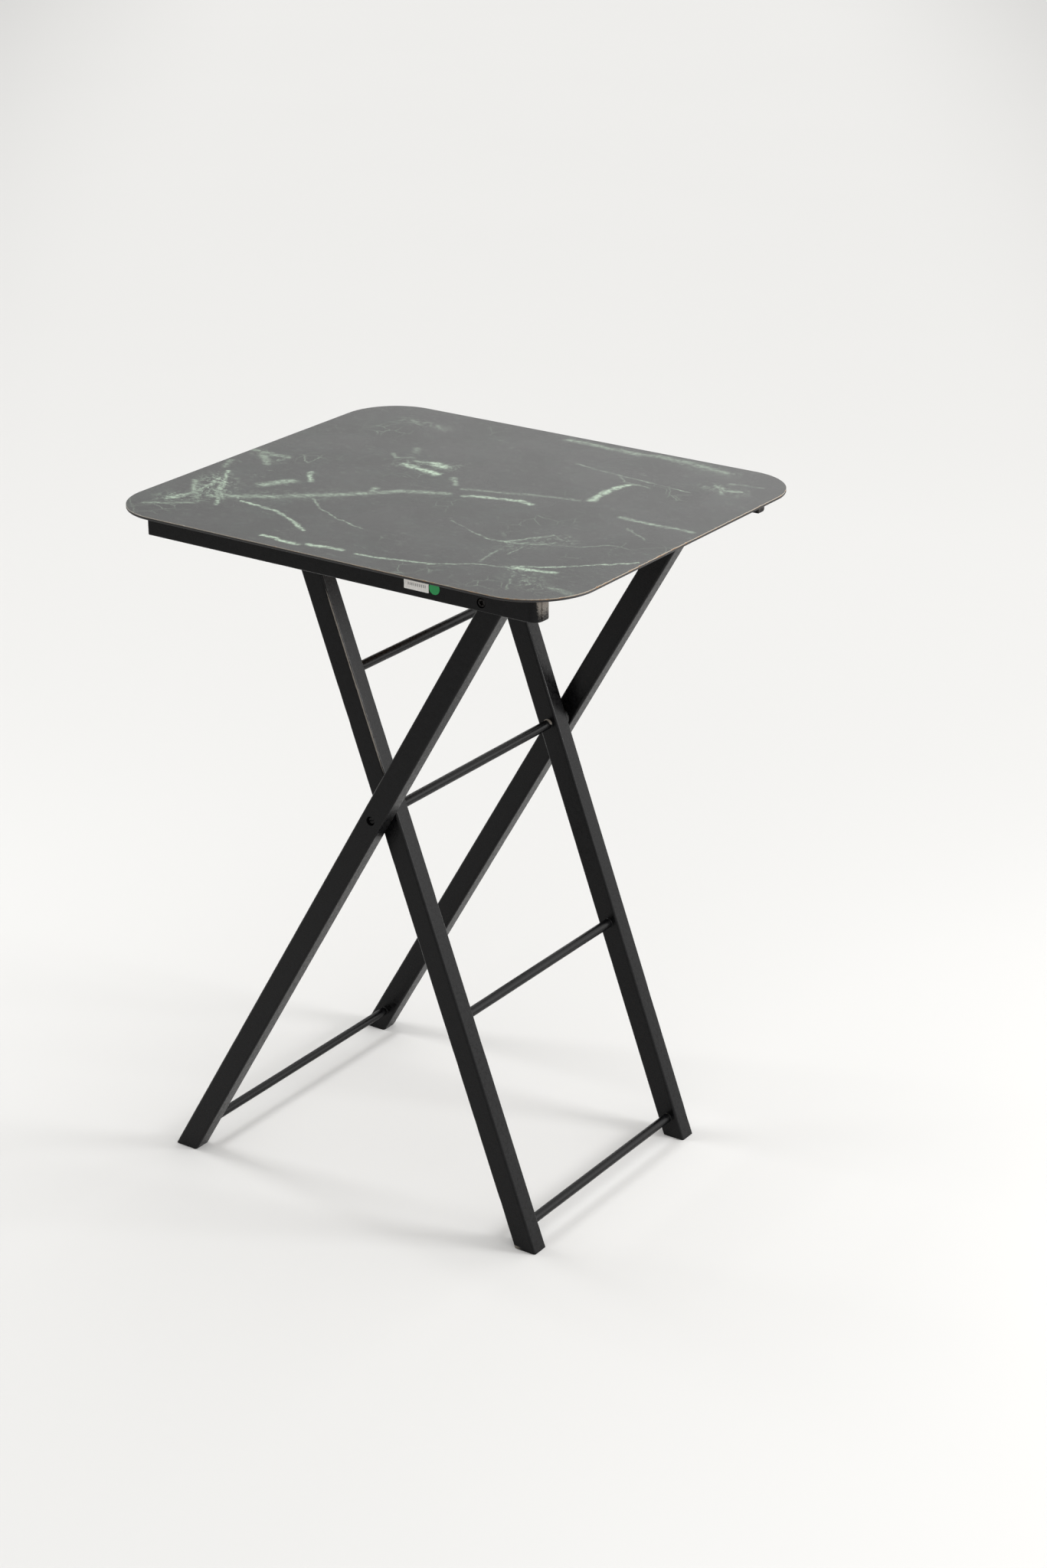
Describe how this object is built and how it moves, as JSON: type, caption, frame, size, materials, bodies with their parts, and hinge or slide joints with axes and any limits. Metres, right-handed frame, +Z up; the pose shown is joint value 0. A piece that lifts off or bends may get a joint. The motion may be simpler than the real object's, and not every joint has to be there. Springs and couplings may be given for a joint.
{
  "type": "folding table",
  "caption": "Folding side table: thin rounded rectangular top on side rails over crossed wooden leg frames with round rungs; the legs close and the top lifts.",
  "frame": {"origin": "on the floor, below the middle of the top", "axes": "+X along the rails towards the hinge end, +Y from the front rail to the rear rail, +Z up"},
  "size_m": [0.547, 0.475, 0.75],
  "materials": {
    "laminate": "satin printed laminate, dark green marble with pale green veins",
    "board": "fibreboard, edge painted black and worn brown",
    "frame": "satin black paint on wood, lightly rubbed on the arrises",
    "spacer": "black moulded spacer, matt",
    "steel": "dulled zinc-plated steel",
    "label": "white paper sticker with plain bars",
    "sticker": "plain green paper dot"
  },
  "bodies": {
    "outer_frame": {"outer_leg_front": "frame", "outer_leg_rear": "frame", "outer_stretcher": "frame", "front_crossing_spacer": "spacer", "rear_crossing_spacer": "spacer"},
    "inner_frame": {"inner_leg_front": "frame", "inner_leg_rear": "frame", "catch_rung": "frame", "upper_rung": "frame", "middle_rung": "frame", "lower_rung": "frame", "foot_rung": "frame", "front_crossing_screw": "steel", "rear_crossing_screw": "steel"},
    "tabletop": {"top_laminate": "laminate", "top_board": "board", "front_rail": "frame", "rear_rail": "frame", "catch_batten": "frame", "rail_label": "label", "rail_dot": "sticker", "front_hinge_bolt": "steel", "rear_hinge_bolt": "steel", "front_hinge_spacer": "spacer", "rear_hinge_spacer": "spacer", "front_hinge_washer": "steel", "rear_hinge_washer": "steel", "front_hinge_nut": "steel", "rear_hinge_nut": "steel"}
  },
  "joints": [
    {"name": "leg_fold", "type": "hinge", "parent": "outer_frame", "child": "inner_frame", "pos_m": [0.019, 0, 0.45716], "axis": [0, 1, 0], "range_deg": [0, 50.5]},
    {"name": "top_tilt", "type": "hinge", "parent": "outer_frame", "child": "tabletop", "pos_m": [0.1774, 0, 0.7298], "axis": [0, 1, 0], "range_deg": [0, 118]}
  ]
}
